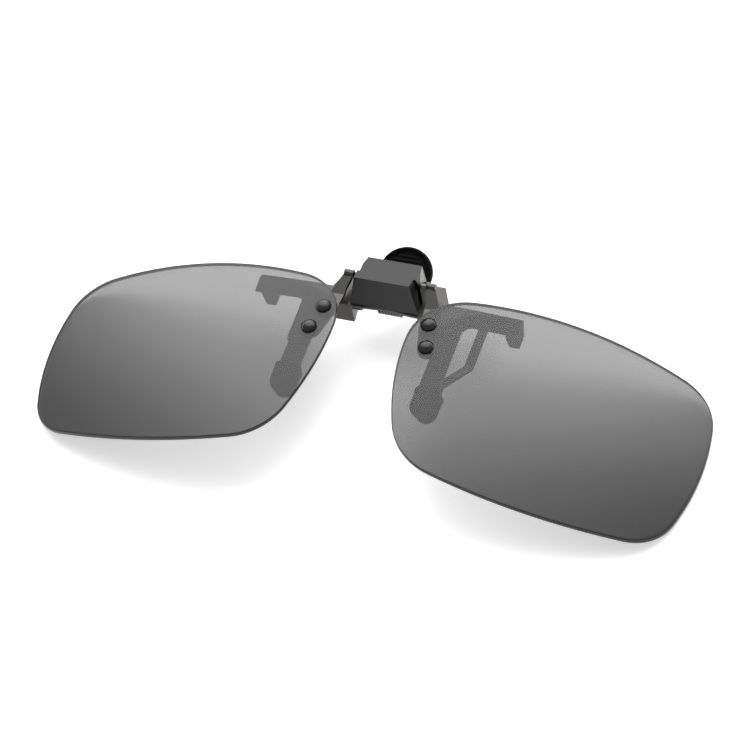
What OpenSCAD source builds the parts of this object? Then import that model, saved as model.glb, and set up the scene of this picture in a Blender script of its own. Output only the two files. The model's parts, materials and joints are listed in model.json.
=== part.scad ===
// Flip-up clip-on lenses. The clip lies with the lens fronts up, on the outer edges of its lenses.
// +X runs across the face, +Y towards the top of the lenses, +Z out of the lens fronts.
// Both lens fronts lie on one large sphere. The clip is mirrored about the plane X = 0. All is drawn level,
// and rest() then leans it by the small angle at which it balances on the two curved edges.

/* [Lenses] */
// Overall width across both lenses
span = 138; // [134:1:140]
// Gap between the lenses at its narrowest
nose_gap = 15; // [14.6:0.1:15.6]
// Top of a lens in Y
lens_top = 22.9; // [22:0.1:23.5]
// Bottom of a lens in Y
lens_low = -21.1; // [-24:0.1:-20]
// Radius of the sphere that both fronts lie on
face_r = 153.2; // [150:0.2:160]
// Where the centre of that sphere is in Y
face_y = 4.6; // [4:0.1:5.2]
// Thickness of a lens
lens_t = 1; // [0.9:0.1:1.1]
// Angle that the thumb pad's side leans down by at rest
lean = 1.9; // [1.6:0.05:2.2]

/* [Flip hinge] */
// Flip axis in Y
flip_y = 22.3; // [22.1:0.1:22.5]
// How far the flip axis is behind the top of the lens sphere
flip_drop = 1; // [0.9:0.1:1.1]
// Radius of the axle's journals
axle_r = 0.5; // [0.4:0.05:0.6]
// Free room around the journals and around the jaw pin
running_gap = 0.06; // [0.03:0.01:0.1]
// Thickness of a lens bracket
bracket_t = 0.7; // [0.5:0.1:0.8]

/* [Spring housing] */
// Width of the front face at its lip
housing_front_w = 11.5; // [10:0.1:11.8]
// Width of the front face at its brow
housing_brow_w = 11.3; // [10.6:0.1:11.6]
// Width of the foot that stands on the front jaw
housing_foot_w = 14.2; // [13.6:0.1:14.4]
// Sideways step between the two halves
housing_step = 0.5; // [0:0.05:0.5]

/* [Front jaw] */
// Thickness of the sheet
jaw_t = 0.6; // [0.5:0.1:0.8]
// How far the sheet's front is behind the top of the lens sphere
jaw_drop = 4.4; // [4.3:0.1:4.6]
// Reach of an arm from the middle
arm_x = 27.7; // [26:0.1:28]
// Lower and upper edge of the arms
arm_low = 17.2; // [17:0.1:17.6]
arm_top = 21.2; // [20.8:0.1:21.4]
// Inner and outer edge of a leg
leg_in = 12.4; // [12.2:0.1:12.8]
leg_out = 16.6; // [16:0.1:16.8]

/* [Rear jaw] */
// Thickness of the sheet
lever_t = 0.6; // [0.5:0.1:0.8]
// Width of the bowed legs
bow_w = 1.9; // [1.5:0.1:2.2]
// Radius of the thumb pad
thumb_r = 5.65; // [5.2:0.05:5.8]
// Centre of the thumb pad in Y
thumb_y = 29.4; // [29:0.1:30]
// How far the thumb pad's centre is in front of the rear sheet
thumb_lift = 3; // [2.6:0.1:3.2]
// Angle that the thumb pad's sheet bends forward by
tail_rise = 20; // [16:1:22]
// Jaw pin in Y
pin_y = 20; // [19.8:0.1:20.2]
// Radius of the jaw pin
pin_r = 0.7; // [0.6:0.05:0.75]

/* [Springs and rivets] */
// Wire of the jaw spring
wire_d = 0.55; // [0.4:0.05:0.6]
// Whole turns of the jaw spring, before the last half turn
turns = 7; // [4:1:7]
// Radius of a lens rivet's domed head
rivet_head_r = 1.45; // [1.2:0.05:1.6]
// Radius of a lens rivet's shank
rivet_r = 0.75; // [0.6:0.05:0.8]

/* [Hidden] */
$fn = 48;
e = 0.02;
SMOOTH_FN = 360;

// ---- lens outline: four long arcs [centre, radius] joined by four tangent corner arcs ----
sides = [
    [[span / 2 - 50, 3], 50],
    [[35.5, lens_top - 105], 105],
    [[nose_gap / 2 + 57, 8.6], 57],
    [[39.5, lens_low + 95], 95]
];
corner_r = [10.2, 12.5, 12.6, 10.7];

function angle_of(v) = atan2(v.y, v.x);
function turn_to(a, b) = (b - a + 540) % 360 - 180;
function arc(c, r, a, b, n) = [for (i = [0:n - 1]) let (t = a + turn_to(a, b) * i / n) c + r * [cos(t), sin(t)]];
function meet(c1, r1, c2, r2) =
    let (d = norm(c2 - c1), u = (c2 - c1) / d, a = (r1 * r1 - r2 * r2 + d * d) / (2 * d))
    c1 + u * a + [-u.y, u.x] * sqrt(r1 * r1 - a * a);

corners = [for (k = [0:3]) let (s = sides[k], t = sides[(k + 1) % 4], q = corner_r[k])
    meet(s[0], s[1] - q, t[0], t[1] - q)];
outline = [for (k = [0:3]) let (s = sides[k], t = sides[(k + 1) % 4], before = corners[(k + 3) % 4])
    each concat(
        arc(s[0], s[1], angle_of(before - s[0]), angle_of(corners[k] - s[0]), 8),
        arc(corners[k], corner_r[k], angle_of(corners[k] - s[0]), angle_of(corners[k] - t[0]), 8)
    )];

// ---- heights: Z = 0 is the level of the rims' farthest points ----
back_r = face_r - lens_t;
rim_reach = max([for (p = outline) norm(p - [0, face_y])]);
face_cz = -sqrt(back_r * back_r - rim_reach * rim_reach);
face_top = face_cz + face_r;
flip_z = face_top - flip_drop;
jaw_z = face_top - jaw_drop;

// ---- flip hinge ----
cam_r = 1.25;
cam_w = 2.1;
cam_l = 4.8;
eye_r = 0.85;
eye_in = 7.7;
eye_out = 9.6;
rivet_spots = [[11, 13.1], [12.2, 7.6]];
strip_gap = 0.1;
ear_z = sqrt(back_r * back_r - 11.3 * 11.3 - pow(17.8 - face_y, 2)) + face_cz;
washer_t = 0.25;
tail_t = 0.35;
tail_r = 1.1;
hole_gap = 0.04;

// ---- housing ----
housing_low = 17.4;
housing_lip = 18.8;
housing_brow = 25.6;
housing_top = 26.2;
seam_y = 21.1;
lip_z = jaw_z + 7.3;
brow_z = jaw_z + 5.5;
foot_z = jaw_z + 0.8;
room_l = 9.2;
room_half = 1.5;
room_floor = jaw_z + 0.9;
room_top = flip_z + 1.6;
leaf_t = 0.25;
fix_r = 0.6;
fix_head_r = 0.9;
fix_spots = [[4.1, 18.9], [4.1, 24.7]];

// ---- jaws ----
arm_fall = 0.65;
edge_y = 17.3;
lug_in = 7.1;
lug_t = 0.9;
lug_x = lug_in + lug_t / 2;
flange_out = 11.4;
flange_end = jaw_z - 5.4;
lug_r = 1.7;
pin_z = jaw_z - 2.9;
pin_head_r = 1.1;
hook_in = 24;
hook_end = jaw_z - 7.1;
lever_z = jaw_z - 6;
lever_lug_x = lug_in - 0.2 - lug_t / 2;
lever_lug_r = 1.4;
pad_z = jaw_z - jaw_t / 2;
rear_pad_z = pad_z - 2.9;
pad_t = 2.4;
coil_r = pin_r + wire_d / 2 + 0.18;
bow = [[4.5, 23.4], [17, 23.4], [18.7, 21.6], [18.6, 11.3], [15.4, 4.2], [14.8, -3.4]];
lever_mid = lever_z - lever_t / 2;
thumb_z = lever_mid + thumb_lift;
bend_y = thumb_y - thumb_lift / tan(tail_rise);
tail_tip = thumb_y + 2.6;

// ---- resting place ----
function lain_y(y, z) = y * cos(lean) + z * sin(lean);
function lain_z(y, z) = z * cos(lean) - y * sin(lean);
function back_z(p) = face_cz + sqrt(back_r * back_r - pow(norm(p - [0, face_y]), 2));
thumb_end = lain_y(thumb_y, thumb_z) + (thumb_r - 0.7) * cos(tail_rise - lean) + 0.85;
mid_y = (thumb_end + min([for (p = outline) lain_y(p.y, back_z(p))])) / 2;
rest_z = min([for (p = outline) lain_z(p.y, back_z(p))]);

// ---- shared shapes ----

// Moves the design to its resting place, with the middle of its length over the origin.
module rest() { translate([0, -mid_y, -rest_z]) rotate([-lean, 0, 0]) children(); }

// Makes a part of the left side (-X) from the shape drawn at +X.
module left() { mirror([1, 0, 0]) children(); }

// Profile in (Y, Z) drawn out along X, and profile in (X, Z) drawn out along Y.
module along_x(w) { rotate([90, 0, 90]) linear_extrude(w, center = true) children(); }
module along_y(w) { rotate([90, 0, 0]) linear_extrude(w, center = true) children(); }

module x_rod(r, l, y, z) { translate([0, y, z]) rotate([0, 90, 0]) cylinder(r = r, h = l, center = true); }

// Flat link between two round ends, with tangent edges.
module link(p, rp, q, rq) {
    d = norm(q - p);
    a = angle_of(q - p);
    b = acos((rp - rq) / d);
    translate(p) circle(rp);
    translate(q) circle(rq);
    polygon([
        p + rp * [cos(a + b), sin(a + b)], p + rp * [cos(a - b), sin(a - b)],
        q + rq * [cos(a - b), sin(a - b)], q + rq * [cos(a + b), sin(a + b)]
    ]);
}

module face_shell(r_out, t) {
    translate([0, face_y, face_cz]) difference() {
        sphere(r_out, $fn = SMOOTH_FN);
        sphere(r_out - t, $fn = SMOOTH_FN);
    }
}

// Puts its children on the lens front at p, with +Z square to the front.
module on_face(p) {
    y = p.y - face_y;
    translate([0, face_y, face_cz])
        rotate([-asin(y / face_r), 0, 0])
            rotate([0, asin(p.x / face_r), 0])
                translate([0, 0, face_r]) children();
}

module rivet_holes() {
    for (p = rivet_spots) on_face(p) translate([0, 0, -4]) cylinder(r = rivet_r + hole_gap, h = 6);
}

// ---- lens carrier: what flips up ----

module lens() {
    difference() {
        intersection() {
            face_shell(face_r, lens_t);
            translate([0, 0, -1]) linear_extrude(face_top + 2) polygon(outline);
        }
        rivet_holes();
    }
}

module lens_left() { color("slategray") rest() left() lens(); }
module lens_right() { color("slategray") rest() lens(); }

module strip_plan() { link([12.35, 8.1], 2.1, [11.1, 13.2], 2.1); }

module ear_plan() {
    link([11, 14], 1.9, [10.3, 16], 1.65);
    link([10.3, 16], 1.65, [9.5, 19.6], 1.15);
    link([9.5, 19.6], 1.15, [8.75, 21.6], 0.9);
}

// A flat strip riveted behind the lens, whose ear bends up to an eye on the flip axle.
module bracket() {
    middle = (rivet_spots[0] + rivet_spots[1]) / 2;
    difference() {
        union() {
            on_face(middle) translate([0, 0, -lens_t - strip_gap - bracket_t]) linear_extrude(bracket_t)
                translate(-middle) strip_plan();
            intersection() {
                linear_extrude(face_top + 2) ear_plan();
                along_x(40) polygon([
                    [14.4, ear_z], [17.8, ear_z - 0.15], [flip_y + 0.1, flip_z + 0.55],
                    [flip_y + 0.5, flip_z], [flip_y + 0.1, flip_z - 0.55],
                    [17.8, ear_z - 0.15 - bracket_t], [14.4, ear_z - bracket_t]
                ]);
            }
            translate([(eye_in + eye_out) / 2, 0, 0]) x_rod(eye_r, eye_out - eye_in, flip_y, flip_z);
        }
        rivet_holes();
        x_rod(axle_r + e, 30, flip_y, flip_z);
    }
}

module bracket_left() { color("gray") rest() left() bracket(); }
module bracket_right() { color("gray") rest() bracket(); }

module rivets() {
    dome = 0.75;
    ball = (rivet_head_r * rivet_head_r + dome * dome) / (2 * dome);
    depth = lens_t + strip_gap + bracket_t + 0.04;
    for (p = rivet_spots) on_face(p) {
        intersection() {
            translate([0, 0, washer_t + dome - ball]) sphere(ball);
            translate([0, 0, washer_t]) cylinder(r = rivet_head_r + 1, h = 2);
        }
        translate([0, 0, -depth]) cylinder(r = rivet_r, h = depth + washer_t + e);
        translate([0, 0, -depth - tail_t]) cylinder(r = tail_r, h = tail_t);
    }
}

module rivets_left() { color("dimgray") rest() left() rivets(); }
module rivets_right() { color("dimgray") rest() rivets(); }

module rivet_washers() {
    for (p = rivet_spots) on_face(p) difference() {
        translate([0, 0, 0.01]) cylinder(r = rivet_head_r + 0.12, h = washer_t - 0.01);
        translate([0, 0, -1]) cylinder(r = rivet_r + hole_gap, h = 2);
    }
}

module rivet_washers_left() { color("black") rest() left() rivet_washers(); }
module rivet_washers_right() { color("black") rest() rivet_washers(); }

// Round axle with a square cam in the middle, which the detent spring holds at each quarter turn.
module flip_axle() {
    color("silver") rest() {
        x_rod(axle_r, 2 * eye_out, flip_y, flip_z);
        intersection() {
            x_rod(cam_r, cam_l, flip_y, flip_z);
            translate([0, flip_y, flip_z]) cube([cam_l + 1, cam_w, cam_w], center = true);
        }
    }
}

// ---- clip body: what stays on the glasses ----

module housing_half(upper) {
    shift = upper ? housing_step / 2 : -housing_step / 2;
    y_cut = upper ? seam_y : seam_y - 20;
    difference() {
        intersection() {
            along_x(20) polygon([
                [housing_low, jaw_z], [housing_top, jaw_z], [housing_brow, brow_z], [housing_lip, lip_z]
            ]);
            translate([shift, 0, 0]) along_y(80) polygon([
                [-housing_foot_w / 2, jaw_z], [housing_foot_w / 2, jaw_z], [housing_foot_w / 2, foot_z],
                [housing_front_w / 2, lip_z], [-housing_front_w / 2, lip_z], [-housing_foot_w / 2, foot_z]
            ]);
            translate([shift, 0, 0]) linear_extrude(40) polygon([
                [-housing_foot_w / 2, housing_low], [housing_foot_w / 2, housing_low],
                [housing_brow_w / 2, housing_brow], [housing_brow_w / 2, housing_top],
                [-housing_brow_w / 2, housing_top], [-housing_brow_w / 2, housing_brow]
            ]);
            translate([-10, y_cut, 0]) cube([20, 20, 40]);
        }
        translate([-room_l / 2, flip_y - room_half, room_floor])
            cube([room_l, 2 * room_half, room_top - room_floor]);
        x_rod(axle_r + running_gap, 20, flip_y, flip_z);
        for (p = fix_spots, s = [-1, 1]) translate([s * p.x, p.y, jaw_z - 1]) cylinder(r = fix_r + hole_gap, h = 3);
    }
}

module housing_lower_half() { color("dimgray") rest() housing_half(false); }
module housing_upper_half() { color("dimgray") rest() housing_half(true); }

module housing_rivets() {
    color("silver") rest() for (p = fix_spots, s = [-1, 1]) translate([s * p.x, p.y, jaw_z - jaw_t]) {
        cylinder(r = fix_r, h = jaw_t + 1.9);
        cylinder(r = fix_head_r, h = jaw_t / 2);
    }
}

// Bridge-shaped leaf whose middle lies just behind the axle's cam.
module detent_spring() {
    top = flip_z - cam_r - 0.08;
    half = room_l / 2 - 0.2;
    color("silver") rest() translate([0, flip_y, 0]) along_y(2 * room_half - 0.4) polygon([
        [-half, room_floor], [-half, room_floor + leaf_t], [-half + 0.9, room_floor + leaf_t], [-half + 1.5, top],
        [half - 1.5, top], [half - 0.9, room_floor + leaf_t], [half, room_floor + leaf_t], [half, room_floor],
        [half - 1.1, room_floor], [half - 1.7, top - leaf_t], [-half + 1.7, top - leaf_t], [-half + 1.1, room_floor]
    ]);
}

module jaw_plan_half() {
    polygon([
        [0, edge_y + 0.2], [3, edge_y], [5.5, edge_y - 0.2], [flange_out, edge_y - 0.2],
        [leg_in, edge_y - 2.2], [leg_in, -4.6], [leg_out, -4.6],
        [leg_out, arm_low], [arm_x, arm_low], [arm_x, arm_top], [12.3, arm_top], [10.3, housing_top - 0.9],
        [7.4, housing_top - 0.9], [6.9, housing_top - 0.2], [0, housing_top - 0.2]
    ]);
    difference() {
        translate([leg_out - e, arm_low - 2.2]) square([2.2, 2.2 + e]);
        translate([leg_out + 2.2, arm_low - 2.2]) circle(2.2);
    }
}

// One stamping: centre plate with two tabs, two arms that fall back towards their hooks, two legs, and
// two back flanges whose inner ends turn in as lugs that carry the jaw pin.
module front_jaw_half() {
    intersection() {
        linear_extrude(40) jaw_plan_half();
        along_y(80) polygon([
            [-1, jaw_z - jaw_t], [leg_out, jaw_z - jaw_t], [arm_x + 1, jaw_z - jaw_t - arm_fall],
            [arm_x + 1, jaw_z - arm_fall], [leg_out, jaw_z], [-1, jaw_z]
        ]);
    }
    intersection() {
        along_x(80) polygon([
            [arm_top, jaw_z - arm_fall], [arm_top - 1.1, jaw_z - arm_fall - 1],
            [arm_top - 2.4, hook_end], [arm_top - 1.4, hook_end]
        ]);
        along_y(80) polygon([
            [hook_in, jaw_z], [arm_x, jaw_z], [arm_x, jaw_z - 4.6], [arm_x - 0.9, hook_end],
            [hook_in + 0.8, hook_end], [hook_in, hook_end + 2]
        ]);
    }
    translate([lug_in, edge_y - 0.2, flange_end]) cube([flange_out - lug_in, lug_t, jaw_z - flange_end - e]);
    translate([lug_x, 0, 0]) along_x(lug_t) {
        link([edge_y + 0.4, flange_end + 0.6], 0.6, [pin_y, pin_z], lug_r);
        link([pin_y, pin_z], lug_r, [pin_y + 0.6, jaw_z - 1.3], 0.8);
        polygon([
            [edge_y - 0.2 + e, flange_end + 0.6], [edge_y + 0.4, flange_end + e], [pin_y, pin_z],
            [pin_y + 0.6, jaw_z - e], [edge_y - 0.2 + e, jaw_z - e]
        ]);
    }
}

module front_jaw() {
    color("darkgray") rest() difference() {
        union() {
            front_jaw_half();
            left() front_jaw_half();
        }
        x_rod(pin_r + e, 30, pin_y, pin_z);
        for (p = fix_spots, s = [-1, 1]) translate([s * p.x, p.y, jaw_z - jaw_t - e]) {
            cylinder(r = fix_r + hole_gap, h = jaw_t + 1);
            cylinder(r = fix_head_r + hole_gap, h = jaw_t / 2 + 2 * e);
        }
    }
}

// Soft sleeve of width w and length h along Y, flat-sided, with its closed end round.
module cushion(w, h) {
    half = pad_t / 2;
    translate([0, (w - h) / 2, 0]) rotate_extrude() {
        translate([w / 2 - half, 0]) intersection() {
            circle(half);
            translate([0, -half]) square(2 * half);
        }
        translate([0, -half]) square([w / 2 - half, 2 * half]);
    }
    translate([0, w / 4, 0]) along_y(h - w / 2) {
        square([w - 2 * half, 2 * half], center = true);
        for (s = [-1, 1]) translate([s * (w / 2 - half), 0]) circle(half);
    }
}

module front_pad() {
    difference() {
        translate([14.6, -2.75, pad_z]) cushion(5.6, 6.9);
        translate([leg_in - e, -4.6 - e, jaw_z - jaw_t - e]) cube([leg_out - leg_in + 2 * e, 8, jaw_t + 2 * e]);
    }
}

module front_pad_left() { color("black") rest() left() front_pad(); }
module front_pad_right() { color("black") rest() front_pad(); }

module jaw_pin() {
    color("silver") rest() {
        x_rod(pin_r, 2 * (lug_in + lug_t) + 0.8, pin_y, pin_z);
        for (s = [-1, 1]) translate([s * (lug_in + lug_t + 0.25), 0, 0])
            x_rod(pin_head_r, 0.5 - e, pin_y, pin_z);
    }
}

// Front of the rear sheet's inclined tail, at a place in Y.
function tail_top(y) = lever_mid + (y - bend_y) * tan(tail_rise) + lever_t / 2 / cos(tail_rise);

// Torsion spring: a leg under the front jaw, the turns round the pin, and a leg on the rear jaw.
coil_half = (turns + 0.5) * (wire_d + 0.08) / 2;
coil_path = concat(
    [for (p = [[4.6, 0.03], [2.4, 0.15]]) [-coil_half, pin_y + p.x, jaw_z - jaw_t - wire_d / 2 - p.y]],
    [for (i = [0:(turns + 0.5) * 14]) let (a = 90 + i * 360 / 14)
        [-coil_half + 2 * coil_half * i / ((turns + 0.5) * 14), pin_y + coil_r * cos(a), pin_z + coil_r * sin(a)]],
    [[coil_half, pin_y + 2.2, pin_z - coil_r - 0.2], [coil_half, pin_y + 4, tail_top(pin_y + 4) + wire_d / 2 + 0.05]]
);

module swept_wire(path, d, n) {
    last = len(path) - 1;
    rings = [for (i = [0:last])
        let (t = path[min(i + 1, last)] - path[max(i - 1, 0)], u = cross(t / norm(t), [1, 0, 0]),
             v = u / norm(u), w = cross(t / norm(t), v))
        for (k = [0:n - 1]) path[i] + d / 2 * (cos(k * 360 / n) * v + sin(k * 360 / n) * w)];
    walls = [for (i = [0:last - 1], k = [0:n - 1]) let (a = i * n + k, b = i * n + (k + 1) % n) [a, a + n, b + n, b]];
    ends = [[for (k = [0:n - 1]) k], [for (k = [n - 1:-1:0]) last * n + k]];
    polyhedron(rings, concat(walls, ends));
}

module jaw_spring() { color("silver") rest() swept_wire(coil_path, wire_d, 8); }

// ---- rear jaw: what the thumb pad opens ----

module lever_plan_half() {
    polygon([
        [0, 21.8], [lug_in - 0.2, 21.8], [lug_in - 0.2, 24.2], [3, 24.9], [3, tail_tip], [0, tail_tip]
    ]);
    for (i = [0:len(bow) - 2]) link(bow[i], bow_w / 2, bow[i + 1], bow_w / 2 + 0.001);
}

module rear_jaw_half() {
    bend = lever_t / 2 * tan(tail_rise / 2);
    intersection() {
        linear_extrude(40) lever_plan_half();
        along_x(80) polygon([
            [36, tail_top(36) - lever_t / cos(tail_rise)], [36, tail_top(36)], [bend_y - bend, lever_z],
            [11.8, lever_z], [3.6, rear_pad_z + lever_t / 2],
            [-8, rear_pad_z + lever_t / 2], [-8, rear_pad_z - lever_t / 2], [3.6, rear_pad_z - lever_t / 2],
            [11.8, lever_z - lever_t], [bend_y + bend, lever_z - lever_t]
        ]);
    }
    translate([lever_lug_x, 0, 0]) along_x(lug_t) for (y = [22.5, 23.5])
        link([pin_y, pin_z], lever_lug_r, [y, tail_top(y) - 0.1], 0.65);
}

module rear_jaw() {
    color("darkgray") rest() difference() {
        union() {
            rear_jaw_half();
            left() rear_jaw_half();
        }
        x_rod(pin_r + running_gap, 30, pin_y, pin_z);
    }
}

module thumb_pad() {
    edge = 0.7;
    half = 1;
    slot_y = (tail_tip - thumb_y) / cos(tail_rise) + 0.2;
    color("black") rest() translate([0, thumb_y, thumb_z]) rotate([tail_rise, 0, 0]) difference() {
        rotate_extrude() {
            polygon([[0, -half], [thumb_r - edge, -half], [thumb_r - edge, half], [0, half]]);
            translate([thumb_r - edge, 0]) intersection() {
                circle(half);
                square([2 * edge, 2 * half], center = true);
            }
        }
        translate([-3 - e, -thumb_r - 1, -lever_t / 2 - e])
            cube([6 + 2 * e, thumb_r + 1 + slot_y, lever_t + 2 * e]);
    }
}

module rear_pad() {
    difference() {
        translate([14.8, -1.9, rear_pad_z]) cushion(4.7, 6.6);
        translate([0, 0, rear_pad_z - lever_t / 2 - e]) linear_extrude(lever_t + 2 * e)
            link(bow[5], bow_w / 2 + e, bow[4], bow_w / 2 + 2 * e);
    }
}

module rear_pad_left() { color("black") rest() left() rear_pad(); }
module rear_pad_right() { color("black") rest() rear_pad(); }

lens_left();
lens_right();
bracket_left();
bracket_right();
rivets_left();
rivets_right();
rivet_washers_left();
rivet_washers_right();
flip_axle();
housing_lower_half();
housing_upper_half();
housing_rivets();
detent_spring();
front_jaw();
front_pad_left();
front_pad_right();
jaw_pin();
jaw_spring();
rear_jaw();
thumb_pad();
rear_pad_left();
rear_pad_right();
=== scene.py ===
# %% [markdown]
# # Flip-up clip-on lenses
# Two tinted lenses hang from a small spring housing, on a clip with padded jaws. The whole clip lies on its
# back on a white table, with the lens fronts up. The solid model gives every part its place and size, so
# this file gives each part its surface: soft edges on the pressed steel, curved and tinted lenses with dark
# rims, rounded rubber sleeves, and a ribbed thumb pad. A camera, a table and the light follow.
#
# Sizes in the code are in mm and colours are linear values. A length becomes metres where it meets Blender.

import json
import math

import bmesh
import bpy
from mathutils import Matrix, Vector


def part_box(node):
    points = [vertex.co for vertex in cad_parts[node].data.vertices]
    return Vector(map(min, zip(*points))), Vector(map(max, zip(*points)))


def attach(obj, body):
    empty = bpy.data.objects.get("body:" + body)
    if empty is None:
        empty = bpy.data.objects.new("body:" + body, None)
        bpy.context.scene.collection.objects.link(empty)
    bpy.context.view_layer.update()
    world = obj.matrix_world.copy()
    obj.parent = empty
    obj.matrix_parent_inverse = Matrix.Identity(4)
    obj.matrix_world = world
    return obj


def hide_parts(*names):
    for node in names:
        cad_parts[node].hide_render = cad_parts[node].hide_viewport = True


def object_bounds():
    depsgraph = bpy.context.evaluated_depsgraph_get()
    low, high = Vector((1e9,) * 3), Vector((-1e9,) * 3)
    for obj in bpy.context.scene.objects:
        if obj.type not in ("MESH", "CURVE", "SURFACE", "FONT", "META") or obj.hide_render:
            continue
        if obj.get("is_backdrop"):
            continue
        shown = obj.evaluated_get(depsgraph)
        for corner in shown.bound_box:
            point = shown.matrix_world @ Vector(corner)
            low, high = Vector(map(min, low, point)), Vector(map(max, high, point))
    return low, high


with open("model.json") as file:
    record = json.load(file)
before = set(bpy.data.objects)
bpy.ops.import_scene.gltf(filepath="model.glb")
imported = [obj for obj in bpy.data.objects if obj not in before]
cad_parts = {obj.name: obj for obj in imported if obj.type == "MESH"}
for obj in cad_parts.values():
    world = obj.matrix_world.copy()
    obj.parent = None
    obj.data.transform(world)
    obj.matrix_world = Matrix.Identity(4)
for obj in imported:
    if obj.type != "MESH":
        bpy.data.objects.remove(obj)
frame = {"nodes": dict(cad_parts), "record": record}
cad_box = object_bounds()
nodes = frame["nodes"]
MM = 0.001
print("parts:", len(nodes), "size in mm:", [round(v / MM, 1) for v in cad_box[1] - cad_box[0]])

# %% [markdown]
# ## Surfaces
# No real surface has one flat colour. Rolled steel has fine streaks along the sheet, and a moulded part has
# an even grain from its mould. An image of each could be laid on, but it would need a flattened map of
# every part. Two noise textures need no map, and never repeat: a slow one shifts the base colour a little,
# and a fine one drives a very shallow bump. Drawing the fine one out along Y turns its grain into streaks.

# %% Recipe for a finish
MOTTLE_EDGES = (0.3, 0.7)
BUMP_STRENGTH = 0.6


def noise(tree, size, detail, vector):
    """A noise texture with features of about size mm."""
    texture = tree.nodes.new("ShaderNodeTexNoise")
    texture.inputs["Scale"].default_value = 1 / (size * MM)
    texture.inputs["Detail"].default_value = detail
    tree.links.new(vector, texture.inputs["Vector"])
    return texture.outputs["Fac"]


def finish(name, colour, roughness, metallic=0.0, gloss=0.5, mottle=0.1, patch=2, grain=0.1, relief=0.003,
           streak=1.0):
    """A procedural finish. gloss scales the mirror light of a plastic, and mottle the shift in its colour.
    patch and grain are the sizes of the mottle and the relief, and relief is its depth, all in mm. A streak
    below 1 draws the grain out along Y."""
    mat = bpy.data.materials.new(name)
    mat.use_nodes = True
    tree = mat.node_tree
    shader = tree.nodes["Principled BSDF"]
    shader.inputs["Roughness"].default_value = roughness
    shader.inputs["Metallic"].default_value = metallic
    shader.inputs["Specular IOR Level"].default_value = gloss
    spot = tree.nodes.new("ShaderNodeTexCoord").outputs["Object"]

    ramp = tree.nodes.new("ShaderNodeValToRGB")
    for element, edge, shift in zip(ramp.color_ramp.elements, MOTTLE_EDGES, (1 - mottle, 1 + mottle)):
        element.position = edge
        element.color = (*[c * shift for c in colour], 1)
    tree.links.new(noise(tree, patch, 3, spot), ramp.inputs["Fac"])
    tree.links.new(ramp.outputs["Color"], shader.inputs["Base Color"])

    stretch = tree.nodes.new("ShaderNodeMapping")
    stretch.inputs["Scale"].default_value = (1, streak, 1)
    tree.links.new(spot, stretch.inputs["Vector"])
    bump = tree.nodes.new("ShaderNodeBump")
    bump.inputs["Strength"].default_value = BUMP_STRENGTH
    bump.inputs["Distance"].default_value = relief * MM
    tree.links.new(noise(tree, grain, 4, stretch.outputs["Vector"]), bump.inputs["Height"])
    tree.links.new(bump.outputs["Normal"], shader.inputs["Normal"])
    return mat


# %% [markdown]
# The steel of the clip is a dark, satin gunmetal, and the rear jaw is darker still. Axle, pin and springs
# are rod and wire, a little brighter and smoother. Housing and rivets are black with a soft shine. The
# sleeves and the thumb pad are dull rubber that gives back almost no light. The record names a finish for
# each part, so one loop dresses them all.

# %% The finishes
PRESSED = {"metallic": 1.0, "mottle": 0.06, "patch": 3, "grain": 0.08, "relief": 0.002, "streak": 0.06}
DRAWN = {"metallic": 1.0, "mottle": 0.04, "patch": 1, "grain": 0.05, "relief": 0.001}
LOOKS = {
    "steel_sheet": {"colour": (0.072, 0.071, 0.068), "roughness": 0.3, **PRESSED},
    "steel_dark": {"colour": (0.034, 0.034, 0.033), "roughness": 0.34, **PRESSED},
    "spring_steel": {"colour": (0.1, 0.099, 0.095), "roughness": 0.25, **DRAWN},
    "black_rivet": {
        "colour": (0.006, 0.006, 0.006), "roughness": 0.25, "mottle": 0.15, "patch": 0.8, "grain": 0.08,
    },
    "housing_black": {
        "colour": (0.004, 0.004, 0.004), "roughness": 0.33, "gloss": 0.32, "mottle": 0.12, "relief": 0.004,
    },
    "pad_rubber": {
        "colour": (0.002, 0.002, 0.002), "roughness": 0.5, "gloss": 0.05, "mottle": 0.2, "patch": 1.5,
        "relief": 0.005,
    },
}
FINISHES = {name: finish(name, **look) for name, look in LOOKS.items()}
dressed = 0
for part in frame["record"]["subparts"]:
    mat = FINISHES.get(part["material_slot"])
    if mat:
        node = nodes[part["node"]]
        node.data.materials.clear()
        node.data.materials.append(mat)
        dressed += 1
print("finishes:", len(FINISHES), "parts dressed:", dressed)

# %% [markdown]
# ## Soft edges
# Pressed and moulded parts never have knife edges. Each gets a small rounded bevel, which catches the light
# as a thin bright line. A bevel modifier leaves the part's own mesh alone. It rounds only where two faces
# meet at a clear angle, so the facets of a curved face stay as they are. The weld before it joins the loose
# corners that a solid brings along, since a bevel needs faces that share their edges.

# %% Bevels
BEVEL_WIDTH = {
    "housing_lower_half": 0.14, "housing_upper_half": 0.14, "front_jaw": 0.12, "rear_jaw": 0.1,
    "bracket_left": 0.1, "bracket_right": 0.1, "jaw_pin": 0.08, "detent_spring": 0.03,
    "housing_rivets": 0.05, "flip_axle": 0.06,
}
WELD_GAP = 0.002
SHARP_FROM = 30
for name, width in BEVEL_WIDTH.items():
    weld = nodes[name].modifiers.new("weld", "WELD")
    weld.merge_threshold = WELD_GAP * MM
    bevel = nodes[name].modifiers.new("soft_edge", "BEVEL")
    bevel.limit_method = "ANGLE"
    bevel.angle_limit = math.radians(SHARP_FROM)
    bevel.width = width * MM
    bevel.segments = 2
    bevel.harden_normals = True
    bevel.use_clamp_overlap = True
print("bevelled parts:", len(BEVEL_WIDTH))

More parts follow.
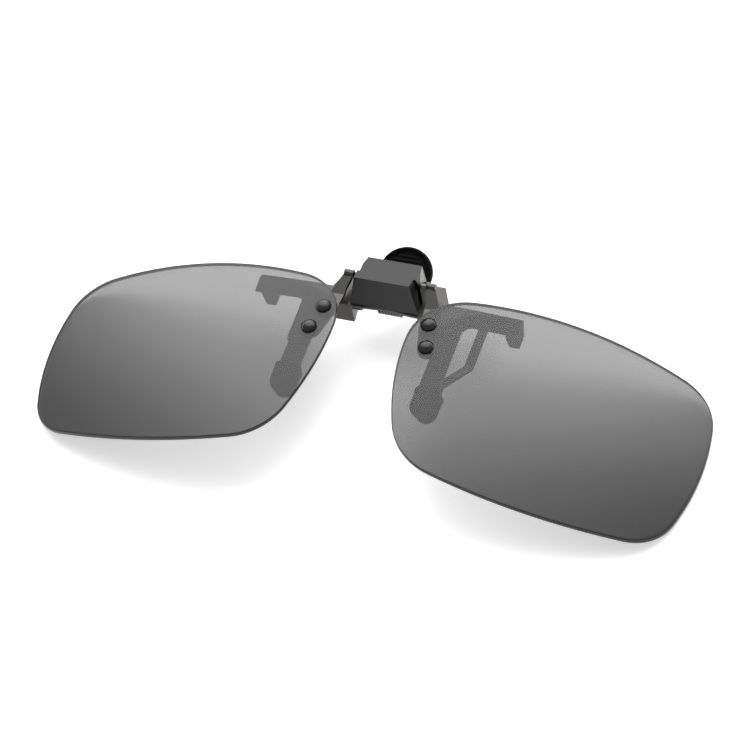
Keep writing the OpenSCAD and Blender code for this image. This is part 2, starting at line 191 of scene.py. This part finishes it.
# %% [markdown]
# ## Own pieces
# Lenses, sleeves and thumb pad have shapes that a plain solid doesn't show well, so each is drawn anew and
# stands for its node. A piece is drawn flat about its own middle, leaned as the whole clip leans at rest,
# and set with the middle of its box on the middle of its node's box. Then it rides on the node's body, so
# it follows the lenses when they flip and the jaw when it opens.

# %% Place a piece
LEAN = 1.9
MERGE_GAP = 0.0005
BODY_OF = {node: body for body, names in frame["record"]["behaviour"]["bodies"].items() for node in names}


def middle_of(points):
    return (Vector(map(min, zip(*points))) + Vector(map(max, zip(*points)))) / 2


def place(name, points, faces, node, materials, tilt=0.0):
    """Makes a smooth mesh from points, tilts it about X by tilt degrees and puts it where its node is."""
    turn = Matrix.Rotation(math.radians(tilt - LEAN), 3, "X")
    turned = [turn @ Vector(p) for p in points]
    low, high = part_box(node)
    shift = (Vector(low) + Vector(high)) / 2 - middle_of(turned) * MM
    mesh = bpy.data.meshes.new(name)
    mesh.from_pydata([p * MM + shift for p in turned], [], faces)
    for mat in materials:
        mesh.materials.append(mat)
    work = bmesh.new()
    work.from_mesh(mesh)
    bmesh.ops.remove_doubles(work, verts=work.verts, dist=MERGE_GAP * MM)
    bmesh.ops.recalc_face_normals(work, faces=work.faces)
    work.to_mesh(mesh)
    work.free()
    mesh.polygons.foreach_set("use_smooth", [True] * len(mesh.polygons))
    obj = bpy.data.objects.new(name, mesh)
    bpy.context.scene.collection.objects.link(obj)
    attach(obj, BODY_OF[node])
    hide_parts(node)
    print(name, "faces:", len(mesh.polygons))
    return obj


def loft(rings):
    """Faces between rings of equal length, closed round each ring, with one face over each end."""
    n = len(rings[0])
    points = [p for ring in rings for p in ring]
    faces = [
        (k * n + i, k * n + (i + 1) % n, (k + 1) * n + (i + 1) % n, (k + 1) * n + i)
        for k in range(len(rings) - 1)
        for i in range(n)
    ]
    faces += [tuple(range(n))[::-1], tuple(range((len(rings) - 1) * n, len(rings) * n))]
    return points, faces


# %% [markdown]
# ## Lenses
# A lens blank is a slice of a large hollow sphere, cut to an outline. The outline here is four long arcs,
# for the outer, top, nose and low side, joined by four tangent corner arcs. A freehand curve could come
# close, but arcs with named radii stay true and are easy to change. A corner arc touches both of its
# neighbours from the inside, so its centre lies where two circles cross that are smaller by the corner's
# radius.

# %% Lens outline
SPHERE_R = 153.2
SPHERE_Y = 4.6
LENS_T = 1.0
SPAN, NOSE_GAP, TOP, LOW = 138, 15, 22.9, -21.1
OUTER_R, TOP_R, NOSE_R, LOW_R = 50, 105, 57, 95
SIDES = [
    (Vector((SPAN / 2 - OUTER_R, 3)), OUTER_R), (Vector((35.5, TOP - TOP_R)), TOP_R),
    (Vector((NOSE_GAP / 2 + NOSE_R, 8.6)), NOSE_R), (Vector((39.5, LOW + LOW_R)), LOW_R),
]
CORNER_R = [10.2, 12.5, 12.6, 10.7]
SIDE_POINTS, CORNER_POINTS = 26, 18


def meet(c1, r1, c2, r2):
    """Where two circles cross, on the side that a corner arc's centre is."""
    d = (c2 - c1).length
    along = (c2 - c1) / d
    a = (r1 * r1 - r2 * r2 + d * d) / (2 * d)
    return c1 + along * a + Vector((-along.y, along.x)) * math.sqrt(r1 * r1 - a * a)


def arc(centre, r, start, end, n):
    """n points of an arc from the direction start to end, with their outward normals."""
    a = math.atan2(start.y, start.x)
    turn = (math.atan2(end.y, end.x) - a + 3 * math.pi) % (2 * math.pi) - math.pi
    normals = [Vector((math.cos(a + turn * i / n), math.sin(a + turn * i / n))) for i in range(n)]
    return [(centre + r * v, v) for v in normals]


def lens_outline():
    """The outline of the right lens, as points with their outward normals."""
    corners = [
        meet(SIDES[k][0], SIDES[k][1] - q, SIDES[(k + 1) % 4][0], SIDES[(k + 1) % 4][1] - q)
        for k, q in enumerate(CORNER_R)
    ]
    points = []
    for k, (centre, r) in enumerate(SIDES):
        after = SIDES[(k + 1) % 4][0]
        points += arc(centre, r, corners[k - 1] - centre, corners[k] - centre, SIDE_POINTS)
        points += arc(corners[k], CORNER_R[k], corners[k] - centre, corners[k] - after, CORNER_POINTS)
    return points


print("outline points:", len(lens_outline()))

# %% [markdown]
# The tint is a smoky grey. Painted shade makes it deeper and more opaque towards the lower outer corner,
# where the table close below the lens lies in shadow. A painted reflection of the glow makes it lighter and
# clearer towards the top. Some light comes through, so the clip's arms show behind it. A glass shader with a
# dark volume would do this too, but it is slow and noisy. A part-clear surface looks the same on so thin a
# sheet. Light passes two faces, the front and the back, so each face lets through the square root of what
# the whole lens lets through.

# %% Lens tint and painted shade
# Painted shade and painted reflection: the lens is darker and more opaque towards its outer low corner, and
# lighter and clearer towards the top.
OPACITY_AT_PAINTED_LIGHT, OPACITY_AT_PAINTED_SHADE = 0.6, 0.77
TINT_AT_PAINTED_LIGHT = (0.058, 0.058, 0.058)
TINT_AT_PAINTED_SHADE = (0.014, 0.014, 0.014)
SHADE_GRADE_ACROSS, SHADE_GRADE_UP = 0.42, 0.9
SHADE_GRADE_DARK_END, SHADE_GRADE_LIGHT_END = -46, -12
HAZE_SIZE, HAZE = 30, 0.06


def painted_shade_grade(tree, spot, side):
    """0 at the outer low corner of a lens, where the painted shade is deepest, and 1 towards the top, where
    a painted reflection lightens the tint.
    """
    axis = tree.nodes.new("ShaderNodeVectorMath")
    axis.operation = "DOT_PRODUCT"
    axis.inputs[1].default_value = (-side * SHADE_GRADE_ACROSS, SHADE_GRADE_UP, 0)
    tree.links.new(spot, axis.inputs[0])
    reach = tree.nodes.new("ShaderNodeMapRange")
    reach.interpolation_type = "SMOOTHSTEP"
    reach.inputs["From Min"].default_value = SHADE_GRADE_DARK_END * MM
    reach.inputs["From Max"].default_value = SHADE_GRADE_LIGHT_END * MM
    tree.links.new(axis.outputs["Value"], reach.inputs["Value"])
    return reach.outputs["Result"]


def lens_tint_and_shade(side):
    """The tint of one lens, with painted shade that is deepest at its outer low corner and a painted
    reflection that lightens it towards the top. side is 1 for the right lens.
    """
    mat = bpy.data.materials.new("lens_tint_and_shade_right" if side > 0 else "lens_tint_and_shade_left")
    mat.use_nodes = True
    tree = mat.node_tree
    shader = tree.nodes["Principled BSDF"]
    shader.inputs["Roughness"].default_value = 0.06
    shader.inputs["Specular IOR Level"].default_value = 0.38
    spot = tree.nodes.new("ShaderNodeTexCoord").outputs["Object"]
    # The grade of the painted shade: 0 at the outer low corner, 1 towards the painted reflection at the top.
    grade = painted_shade_grade(tree, spot, side)

    # Painted shade: the alpha is higher towards the outer low corner and lower towards the top.
    clear = tree.nodes.new("ShaderNodeMapRange")
    clear.inputs["To Min"].default_value, clear.inputs["To Max"].default_value = OPACITY_AT_PAINTED_SHADE, OPACITY_AT_PAINTED_LIGHT
    tree.links.new(grade, clear.inputs["Value"])
    tree.links.new(clear.outputs["Result"], shader.inputs["Alpha"])

    # Painted shade and painted reflection: the tint is darker at the outer low corner and lighter towards
    # the top.
    tint = tree.nodes.new("ShaderNodeMixRGB")
    tint.inputs["Color1"].default_value = (*TINT_AT_PAINTED_SHADE, 1)
    tint.inputs["Color2"].default_value = (*TINT_AT_PAINTED_LIGHT, 1)
    tree.links.new(grade, tint.inputs["Fac"])
    haze = tree.nodes.new("ShaderNodeMixRGB")
    haze.blend_type = "OVERLAY"
    haze.inputs["Fac"].default_value = HAZE
    tree.links.new(tint.outputs["Color"], haze.inputs["Color1"])
    tree.links.new(noise(tree, HAZE_SIZE, 2, spot), haze.inputs["Color2"])
    tree.links.new(haze.outputs["Color"], shader.inputs["Base Color"])
    return mat


# %% [markdown]
# Light that enters the ground edge runs a long way through the tint, so the edge looks almost black. It
# gets a dark finish of its own. The mesh is one loft: rings grow over the front face, roll round the edge
# in a half ellipse as high as the lens is thick, and shrink again over the back. Rings that lie on the two
# spheres give the reflections an even curve.

# %% Lens meshes
LENS_EDGE = finish("lens_edge", (0.008, 0.008, 0.008), 0.2, gloss=0.3, grain=0.2, relief=0.001)
LENS_MIDDLE = Vector((38, 1))
EDGE_ROUND = 0.14
EDGE_STEPS = 8
FACE_ROWS = [0.08, 0.2, 0.35, 0.5, 0.65, 0.8, 0.92, 0.99]


def lens_mesh(side):
    """Points and faces of a lens, and for each face whether it belongs to the dark edge."""
    outline = lens_outline()

    def at(p, r):
        rise = math.sqrt(r * r - p.x * p.x - (p.y - SPHERE_Y) ** 2)
        return Vector((side * p.x, p.y, rise))

    def face_ring(t, r):
        return [at(LENS_MIDDLE + (p - v * EDGE_ROUND - LENS_MIDDLE) * t, r) for p, v in outline]

    rings = [face_ring(t, SPHERE_R) for t in FACE_ROWS]
    for i in range(EDGE_STEPS + 1):
        a = math.pi / 2 - math.pi * i / EDGE_STEPS
        out, depth = EDGE_ROUND * (math.cos(a) - 1), LENS_T / 2 * (1 - math.sin(a))
        rings.append([at(p + v * out, SPHERE_R - depth) for p, v in outline])
    rings += [face_ring(t, SPHERE_R - LENS_T) for t in reversed(FACE_ROWS)]

    points, faces = loft(rings)
    first = len(FACE_ROWS)
    band = range(first, first + EDGE_STEPS)
    edge = [i // len(outline) in band for i in range(len(faces) - 2)] + [False, False]
    return points, faces, edge


for side, name in ((1, "lens_right"), (-1, "lens_left")):
    points, faces, edge = lens_mesh(side)
    lens = place(name + "_glass", points, faces, name, (lens_tint_and_shade(side), LENS_EDGE))
    lens.data.polygons.foreach_set("material_index", [int(v) for v in edge])

# %% [markdown]
# ## Rubber sleeves
# The jaws end in soft sleeves, so that they don't scratch the glasses. A sleeve is dipped or moulded
# rubber: a flat slab with a closed round end, and a slightly thicker lip at the mouth where it rolls over
# the steel. A box with a large bevel would come out too square, so it is a loft of soft oblongs instead.
# Each ring's size follows the half circle of the closed end, the swell of the lip and the small taper at
# the mouth.

# %% Sleeves
SLEEVE_STEPS, SLEEVE_ROUND = 22, 32
SLEEVE_BODY = 0.94
LIP_SWELL, LIP_BACK, LIP_WIDTH = 0.06, 0.9, 0.5
MOUTH_TAPER, MOUTH_LENGTH = 0.25, 0.5
SIDE_POWER, FLAT_POWER = 0.5, 0.7
TIP_WIDE, TIP_THICK = 0.04, 0.03
FRONT_SLEEVE = (5.6, 6.9, 2.4)
REAR_SLEEVE = (4.7, 6.6, 2.4)


def sleeve_fill(y, w, h):
    """The share of the full width that a sleeve has at the height y."""
    past_straight = w / 2 - h / 2 - y
    if past_straight > 0:
        return math.sqrt(max(0.0, 1 - (past_straight / (w / 2)) ** 2))
    near_mouth = max(0.0, (y - h / 2 + MOUTH_LENGTH) / MOUTH_LENGTH)
    return 1 - MOUTH_TAPER * near_mouth ** 2


def oblong(wide, thick, y):
    """A ring between an ellipse and a box, with half sizes wide and thick."""
    ring = []
    for k in range(SLEEVE_ROUND):
        a = 2 * math.pi * k / SLEEVE_ROUND
        c, s = math.cos(a), math.sin(a)
        x = wide * math.copysign(abs(c) ** SIDE_POWER, c)
        ring.append(Vector((x, y, thick * math.copysign(abs(s) ** FLAT_POWER, s))))
    return ring


def sleeve(w, h, t):
    """A sleeve w wide, h long and t thick, with its mouth at +Y."""
    rings = []
    for i in range(SLEEVE_STEPS + 1):
        y = -math.cos(math.pi * i / SLEEVE_STEPS) * h / 2
        fill = sleeve_fill(y, w, h)
        lip = 1 + LIP_SWELL * math.exp(-(((y - h / 2 + LIP_BACK) / LIP_WIDTH) ** 2))
        swell = min(1.0, SLEEVE_BODY * lip)
        wide = max(TIP_WIDE, w / 2 * fill * swell)
        thick = max(TIP_THICK, t / 2 * math.sqrt(fill) * swell)
        rings.append(oblong(wide, thick, y))
    return loft(rings)


for side in ("left", "right"):
    for jaw, size in (("front", FRONT_SLEEVE), ("rear", REAR_SLEEVE)):
        points, faces = sleeve(*size)
        name = f"{jaw}_sleeve_{side}"
        place(name, points, faces, f"{jaw}_pad_{side}", (FINISHES["pad_rubber"],))

# %% [markdown]
# ## Thumb pad
# The thumb pad is a moulded disc that opens the jaws when it is pressed. It has a raised round rim, and its
# dished middle has fine ribs across it, so that a thumb doesn't slip. The ribs are real relief and not a
# bump, because the pad is seen close to its edge. One height formula makes both faces of the disc: a half
# circle at the rim, a smooth fall into the dish, and a cosine along Y for the ribs, which fades out before
# the rim.

# %% Thumb pad
THUMB_R = 5.65
THUMB_HALF = 1.0
THUMB_TILT = 20
RIM_ROUND = 0.55
DISH_LEVEL, DISH_SLOPE = 0.62, 0.42
RIB_HEIGHT, RIB_PITCH = 0.07, 0.85
RIB_END, RIB_FADE = 4.3, 0.5
DISH_RINGS, DISH_FIRST, DISH_STEP = 31, 0.05, 0.17
RIM_RINGS = [5.25, 5.35, 5.45, 5.53, 5.59, 5.63, THUMB_R]
THUMB_ROUND = 96


def thumb_height(r, y):
    """Half thickness of the pad at radius r and height y."""
    rim = THUMB_R - RIM_ROUND
    if r > rim:
        return THUMB_HALF * math.sqrt(max(0.0, 1 - ((r - rim) / RIM_ROUND) ** 2))
    dish = DISH_LEVEL + (1 - DISH_LEVEL) * math.exp(-(((rim - r) / DISH_SLOPE) ** 2))
    fade = max(0.0, min(1.0, (RIB_END - r) / RIB_FADE))
    return THUMB_HALF * dish + RIB_HEIGHT * fade * math.cos(2 * math.pi * y / RIB_PITCH)


def thumb_ring(r, sign):
    """A ring on the front face of the pad, or on its back with a sign of -1."""
    angles = [2 * math.pi * k / THUMB_ROUND for k in range(THUMB_ROUND)]
    flat = [(r * math.cos(a), r * math.sin(a)) for a in angles]
    return [Vector((x, y, sign * thumb_height(r, y))) for x, y in flat]


def thumb_disc():
    radii = [DISH_FIRST + DISH_STEP * i for i in range(DISH_RINGS)] + RIM_RINGS
    front = [thumb_ring(r, 1) for r in radii]
    back = [thumb_ring(r, -1) for r in reversed(radii[:-1])]
    return loft(front + back)


points, faces = thumb_disc()
place("thumb_disc", points, faces, "thumb_pad", (FINISHES["pad_rubber"],), THUMB_TILT)

# %% [markdown]
# ## Camera
# The clip is seen from the front right and well above, with the camera tipped a little to one side. A long
# lens far away keeps the two lenses nearly the same size, as a product shot does. A close, wide lens would
# make the near one look much larger.

# %% Camera
CAMERA_AZIMUTH = 29.45
CAMERA_ELEVATION = 54.03
CAMERA_ROLL = -14.19
CAMERA_DISTANCE = 0.807
CAMERA_AIM = Vector((1.85, -3.06, 9.91)) * MM
LENS_MM = 196.1


def camera_axes(azimuth, elevation, roll):
    """Right, up and back of a camera that looks at its aim from that side, turned by roll about its view."""
    a, e, r = (math.radians(v) for v in (azimuth, elevation, roll))
    back = Vector((math.sin(a) * math.cos(e), -math.cos(a) * math.cos(e), math.sin(e)))
    right = Vector((math.cos(a), math.sin(a), 0))
    up = back.cross(right)
    return right * math.cos(r) + up * math.sin(r), up * math.cos(r) - right * math.sin(r), back


def add_camera():
    right, up, back = camera_axes(CAMERA_AZIMUTH, CAMERA_ELEVATION, CAMERA_ROLL)
    data = bpy.data.cameras.new("camera")
    data.lens = LENS_MM
    data.clip_start, data.clip_end = 0.05, 20
    camera = bpy.data.objects.new("camera", data)
    turn = Matrix((right, up, back)).transposed().to_4x4()
    camera.matrix_world = Matrix.Translation(CAMERA_AIM + back * CAMERA_DISTANCE) @ turn
    bpy.context.scene.collection.objects.link(camera)
    bpy.context.scene.camera = camera
    print("camera at:", [round(v, 3) for v in camera.matrix_world.translation])


add_camera()

# %% [markdown]
# ## Table
# The clip lies on a light table: a white sheet that also glows a little. It burns out to pure white, and
# only soft shadows stay under the low edges of the lenses. A table that only reflects would show a darker,
# heavier shadow between the lenses.

# %% Table
scene = bpy.context.scene
scene.view_settings.view_transform = "Standard"
TABLE_HALF = 3.0
TABLE_WHITE = 0.92
TABLE_GLOW = 0.4


def add_table():
    mesh = bpy.data.meshes.new("table_top")
    corners = [(-1, -1), (1, -1), (1, 1), (-1, 1)]
    mesh.from_pydata([(x * TABLE_HALF, y * TABLE_HALF, 0) for x, y in corners], [], [(0, 1, 2, 3)])
    table = bpy.data.objects.new("table_top", mesh)
    scene.collection.objects.link(table)
    mat = bpy.data.materials.new("table_top")
    mat.use_nodes = True
    shader = mat.node_tree.nodes["Principled BSDF"]
    shader.inputs["Base Color"].default_value = (TABLE_WHITE, TABLE_WHITE, TABLE_WHITE, 1)
    shader.inputs["Roughness"].default_value = 0.8
    shader.inputs["Emission Color"].default_value = (1, 1, 1, 1)
    shader.inputs["Emission Strength"].default_value = TABLE_GLOW
    mesh.materials.append(mat)
    table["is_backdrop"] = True


add_table()
print("table side in m:", 2 * TABLE_HALF)

# %% [markdown]
# ## Light
# The room is even and dim, with one broad glow high up behind the clip. The lenses and the top of the
# housing face that glow and mirror it, which makes them grade from bright to dark, while steep faces stay
# dark. A lamp in its place would show in the lenses as a patch with a hard edge, so the glow is part of the
# room itself. A softbox on the same side adds the shadows. It is hidden from reflections for the same
# reason.

# %% Light
GLOW_FROM = Vector((-0.15, 0.72, 0.68))
GLOW_EDGE = (0.45, 1.03)
ROOM_DIM = 0.45
ROOM_GLOW = 3.4
SOFTBOX_W = 4
SOFTBOX_SIZE = (0.9, 0.7)
SOFTBOX_AT = Vector((-0.1, 0.45, 0.95))


def add_room():
    """An even, dim room with one broad, soft glow high up behind the clip."""
    world = bpy.data.worlds.new("room")
    scene.world = world
    world.use_nodes = True
    tree = world.node_tree
    back = tree.nodes["Background"]
    back.inputs["Color"].default_value = (1, 1, 1, 1)
    way = tree.nodes.new("ShaderNodeTexCoord")
    toward = tree.nodes.new("ShaderNodeVectorMath")
    toward.operation = "DOT_PRODUCT"
    toward.inputs[1].default_value = GLOW_FROM.normalized()
    tree.links.new(way.outputs["Generated"], toward.inputs[0])
    glow = tree.nodes.new("ShaderNodeMapRange")
    glow.interpolation_type = "SMOOTHSTEP"
    glow.inputs["From Min"].default_value, glow.inputs["From Max"].default_value = GLOW_EDGE
    glow.inputs["To Min"].default_value, glow.inputs["To Max"].default_value = ROOM_DIM, ROOM_GLOW
    tree.links.new(toward.outputs["Value"], glow.inputs["Value"])
    tree.links.new(glow.outputs["Result"], back.inputs["Strength"])


def add_softbox():
    lamp = bpy.data.lights.new("softbox", "AREA")
    lamp.shape = "RECTANGLE"
    lamp.size, lamp.size_y = SOFTBOX_SIZE
    lamp.energy = SOFTBOX_W
    obj = bpy.data.objects.new("softbox", lamp)
    obj.location = SOFTBOX_AT
    obj.rotation_mode = "QUATERNION"
    obj.rotation_quaternion = (-SOFTBOX_AT).to_track_quat("-Z", "Y")
    obj.visible_glossy = False
    scene.collection.objects.link(obj)


add_room()
add_softbox()
print("room glow:", ROOM_GLOW, "softbox watts:", SOFTBOX_W)

# %% [markdown]
# Own pieces mustn't make the object larger or smaller than its solid model. The print shows how far the two
# boxes differ.

visual_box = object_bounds()
for end, visual, cad in zip(("low", "high"), visual_box, cad_box):
    print(end, "corner is off in mm by:", [round((a - b) / MM, 2) for a, b in zip(visual, cad)])
